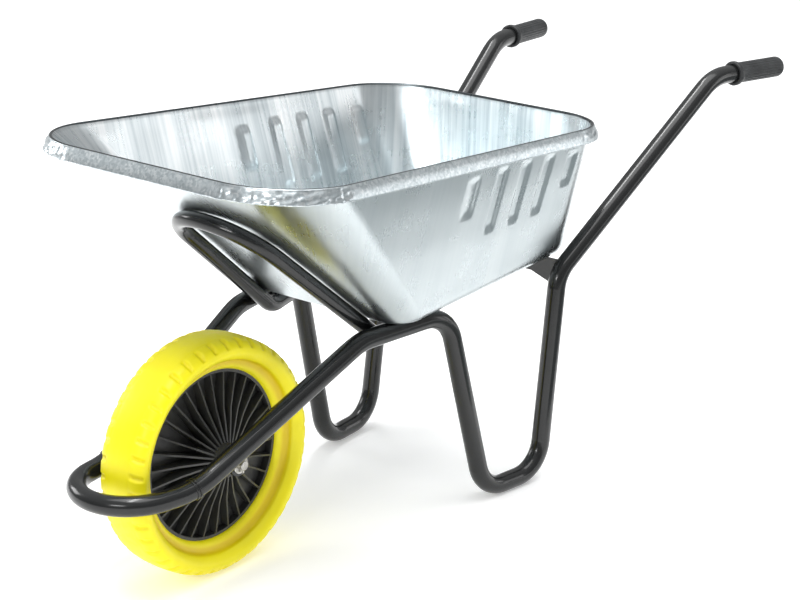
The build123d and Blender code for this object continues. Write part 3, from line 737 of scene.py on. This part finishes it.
def build_grip(node):
    """Hand grip: rounded end, fine lengthwise ribs, and a collar that flares at the mouth."""
    co, axis = long_axis(node)
    if axis[0] < 0:
        axis = -axis
    along = co @ axis
    start, end = along.min(), along.max()
    length = end - start
    mouth = co[along > end - 0.3 * MM]
    origin = mouth.mean(0) - axis * length
    side = unit(np.cross(axis, [0, 0, 1.0]))
    top = np.cross(side, axis)
    profile = [(0.0, GRIP_CENTRE_R)]
    profile += [(GRIP_END_ROUND * (1 - math.cos(a)), GRIP_R - GRIP_END_ROUND + GRIP_END_ROUND * math.sin(a))
                for a in np.linspace(0, math.pi / 2, 8)]
    profile += [(s, GRIP_R) for s in np.linspace(0.013, length - 0.017, 26)]
    profile += [
        (length - 0.0135, GRIP_R + 0.3 * MM), (length - 0.011, GRIP_R + 1.5 * MM),
        (length - 0.0085, GRIP_COLLAR_R - 0.5 * MM), (length - 0.006, GRIP_COLLAR_R),
        (length - 0.002, GRIP_COLLAR_R), (length - 0.0006, GRIP_COLLAR_R - 0.6 * MM),
        (length, GRIP_COLLAR_R - 1.6 * MM), (length, GRIP_BORE_R + 1.0 * MM),
        (length - 0.0008, GRIP_BORE_R + 0.1 * MM), (length - 0.004, GRIP_BORE_R),
        (GRIP_END_WALL, GRIP_BORE_R), (GRIP_END_WALL, GRIP_CENTRE_R),
    ]
    columns = GRIP_COLUMNS
    theta = 2 * math.pi * np.arange(columns) / columns
    wave = 0.5 + 0.5 * np.cos(theta * GRIP_RIBS)
    points = []
    for s, radius in profile:
        on_body = smooth_step(s, 0.012, 0.020) * (1 - smooth_step(s, length - 0.022, length - 0.016))
        on_body *= float(radius > GRIP_BORE_R + 0.5 * MM)
        r = radius - GRIP_RIB_DEPTH * on_body * (1 - wave) ** 1.5
        across = np.outer(r * np.cos(theta), side) + np.outer(r * np.sin(theta), top)
        points.append(origin + axis * s + across)
    rows = np.array(points)
    count = len(profile)
    flat = np.concatenate([rows.reshape(-1, 3), [origin, origin + axis * GRIP_END_WALL]])
    faces = grid_faces(count, columns)
    for c in range(columns):
        d = (c + 1) % columns
        faces.append((count * columns, d, c))
        faces.append((count * columns + 1, (count - 1) * columns + c, (count - 1) * columns + d))
    piece = make_piece(node + "_moulding", flat, faces, "frame", MATERIALS["grip_pvc"])
    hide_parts(node)
    return piece


# ---- weld beads ----
WELD_R = 2.4 * MM
WELD_PITCH = 1.7 * MM
WELD_RING = 10
WELD_NEAR = 3.0 * MM
WELD_NECK = 0.72
WELD_END = 0.6


def contact_points(node, tube, reach):
    """Places on a tube's surface, with their normals, that a node's edges come within reach of."""
    surface = BVHTree.FromObject(nodes[tube], bpy.context.evaluated_depsgraph_get())
    mesh = nodes[node].data
    points, normals = [], []
    for edge in mesh.edges:
        a, b = (mesh.vertices[i].co for i in edge.vertices)
        steps = max(1, int((b - a).length / (2 * MM)))
        for k in range(steps + 1):
            hit, normal, _, distance = surface.find_nearest(a.lerp(b, k / steps))
            if hit is not None and distance < reach:
                points.append(tuple(hit))
                normals.append(tuple(normal))
    return np.array(points), np.array(normals)


def build_weld(name, node, tube, reach):
    """A bead of overlapping rounded ripples along the joint between a node and a tube."""
    points, normals = contact_points(node, tube, reach)
    axis = np.linalg.svd(points - points.mean(0), full_matrices=False)[2][0]
    along = points @ axis
    low, high = along.min(), along.max()
    count = int((high - low) / WELD_PITCH)
    angle = 2 * math.pi * np.arange(WELD_RING) / WELD_RING
    rows = []
    for k in range(count + 1):
        near = np.abs(along - low - (high - low) * k / count) < WELD_NEAR
        if not near.any():
            continue
        normal = unit(normals[near].mean(0))
        radius = WELD_R * (1.0 if k % 2 else WELD_NECK) * (WELD_END if k in (0, count) else 1.0)
        side = unit(np.cross(axis, normal))
        rows.append(points[near].mean(0)
                    + radius * (np.outer(np.cos(angle), side) + np.outer(np.sin(angle), normal)))
    flat = np.concatenate(rows + [[rows[0].mean(0)], [rows[-1].mean(0)]])
    faces = [tuple(reversed(f)) for f in grid_faces(len(rows), WELD_RING)]
    end = (len(rows) - 1) * WELD_RING
    for c in range(WELD_RING):
        d = (c + 1) % WELD_RING
        faces.append((len(flat) - 2, c, d))
        faces.append((len(flat) - 1, end + d, end + c))
    return make_piece(name, flat, faces, "frame", MATERIALS["frame_black"])


# ---- stage, light and camera ----
FLOOR_HALF = 30.0
FLOOR_DROP = 0.5 * MM
FLAG_Z = 0.02

# Lamps: name, place, what they aim at, width, height, power.
LAMPS = (
    ("overhead", (0.2, -0.3, 3.4), (0.0, 0.0, 0.0), 3.4, 0.3, 60.0),
    ("wide", (0.0, 0.4, 4.6), (0.0, 0.0, 0.0), 4.0, 4.0, 150.0),
    ("left_strip", (-2.7, 3.3, 0.9), (0.2, -0.2, 0.5), 0.7, 1.5, 8.0),
    ("rear_strip", (-3.6, 2.3, 0.9), (0.0, -0.2, 0.5), 0.6, 1.5, 8.0),
    ("front_box", (4.4, 1.2, 2.4), (0.4, 0.0, 0.3), 1.6, 0.4, 36.0),
    ("right_strip", (1.2, -3.4, 1.6), (0.0, 0.0, 0.3), 1.6, 1.0, 30.0),
)

# Brightness of the world from straight down to straight up.
WORLD_STOPS = ((0.0, 0.50), (0.08, 0.42), (0.16, 0.44), (0.44, 0.50), (0.62, 0.80), (1.0, 0.95))
WORLD_TINT = (0.985, 1.0, 1.01)
WORLD_STRENGTH = 0.9


def flat_card(name, corners, material):
    """One flat four-cornered face."""
    mesh = bpy.data.meshes.new(name)
    mesh.from_pydata(corners, [], [(0, 1, 2, 3)])
    mesh.materials.append(material)
    card = bpy.data.objects.new(name, mesh)
    bpy.context.scene.collection.objects.link(card)
    return card


def build_stage():
    """White floor, a little brighter than its light, just under the feet and the wheel."""
    s = Shader("floor_white", Roughness=0.9, Specular_IOR_Level=0.1, Emission_Color=(1.0, 1.0, 1.0, 1.0),
               Emission_Strength=0.3)
    s.colour(s.colours(s.noise(2.0), (0.3, (0.90, 0.90, 0.90)), (0.7, (0.92, 0.92, 0.92))))
    size = FLOOR_HALF
    corners = [(-size, -size, 0), (size, -size, 0), (size, size, 0), (-size, size, 0)]
    floor = flat_card("floor", corners, s.material)
    floor.location.z = -FLOOR_DROP


def build_flag():
    """A grey card lying left of the barrow, seen only in reflections, that shades the side wall."""
    s = Shader("flag_grey", Roughness=0.9, Specular_IOR_Level=0.0)
    s.colour(s.colours(s.noise(2.0), (0.3, (0.22, 0.24, 0.245)), (0.7, (0.24, 0.26, 0.265))))
    corners = [(-2.4, 0.45, FLAG_Z), (-0.05, 0.55, FLAG_Z), (-0.05, 2.2, FLAG_Z), (-2.4, 2.2, FLAG_Z)]
    flag = flat_card("flag", corners, s.material)
    flag.visible_camera = False
    flag.visible_diffuse = False
    flag.visible_shadow = False


def soft_box(name, position, aim, width, height, power):
    """A rectangular lamp that the camera doesn't see."""
    light = bpy.data.lights.new(name, "AREA")
    light.shape = "RECTANGLE"
    light.size, light.size_y = width, height
    light.energy = power
    lamp = bpy.data.objects.new(name, light)
    lamp.location = position
    lamp.rotation_euler = (Vector(aim) - Vector(position)).to_track_quat("-Z", "Y").to_euler()
    lamp.visible_camera = False
    bpy.context.scene.collection.objects.link(lamp)


def build_light():
    """World that is darker below and brighter above, and the lamps."""
    world = bpy.data.worlds.new("studio")
    bpy.context.scene.world = world
    world.use_nodes = True
    tree = world.node_tree
    back = tree.nodes["Background"]
    place = tree.nodes.new("ShaderNodeTexCoord")
    split = tree.nodes.new("ShaderNodeSeparateXYZ")
    ramp = tree.nodes.new("ShaderNodeValToRGB")
    tree.links.new(place.outputs["Generated"], split.inputs[0])
    tree.links.new(split.outputs["Z"], ramp.inputs["Fac"])
    tree.links.new(ramp.outputs["Color"], back.inputs["Color"])
    while len(ramp.color_ramp.elements) < len(WORLD_STOPS):
        ramp.color_ramp.elements.new(0.5)
    for element, (position, value) in zip(ramp.color_ramp.elements, WORLD_STOPS):
        element.position = position
        element.color = (*(value * tint for tint in WORLD_TINT), 1.0)
    back.inputs["Strength"].default_value = WORLD_STRENGTH
    for lamp in LAMPS:
        soft_box(*lamp)


def build_camera():
    """The photo's camera, from its place, its direction and its roll."""
    azimuth, elevation, roll = (math.radians(v) for v in (CAM_AZIMUTH, CAM_ELEVATION, CAM_ROLL))
    back = Vector((math.cos(azimuth) * math.cos(elevation), math.sin(azimuth) * math.cos(elevation),
                   math.sin(elevation)))
    level = Vector((-math.sin(azimuth), math.cos(azimuth), 0.0))
    above = back.cross(level)
    right = level * math.cos(roll) + above * math.sin(roll)
    up = back.cross(right)
    turn = Matrix((right, up, back)).transposed().to_4x4()
    data = bpy.data.cameras.new("camera")
    data.lens = CAM_LENS
    data.sensor_width = CAM_SENSOR
    camera = bpy.data.objects.new("camera", data)
    camera.matrix_world = Matrix.Translation(CAM_POSITION) @ turn
    bpy.context.scene.collection.objects.link(camera)
    bpy.context.scene.camera = camera
    bpy.context.scene.view_settings.view_transform = "Standard"


paint_nodes()
build_tray()
build_tyre()
build_grip("grip_left")
build_grip("grip_right")
for hand in ("left", "right"):
    build_weld("cross_weld_" + hand, "rear_cross_member", "side_tube_" + hand, 0.5 * MM)
    build_weld("brace_weld_" + hand, "front_brace", "side_tube_" + hand, 1.0 * MM)
build_stage()
build_flag()
build_light()
build_camera()
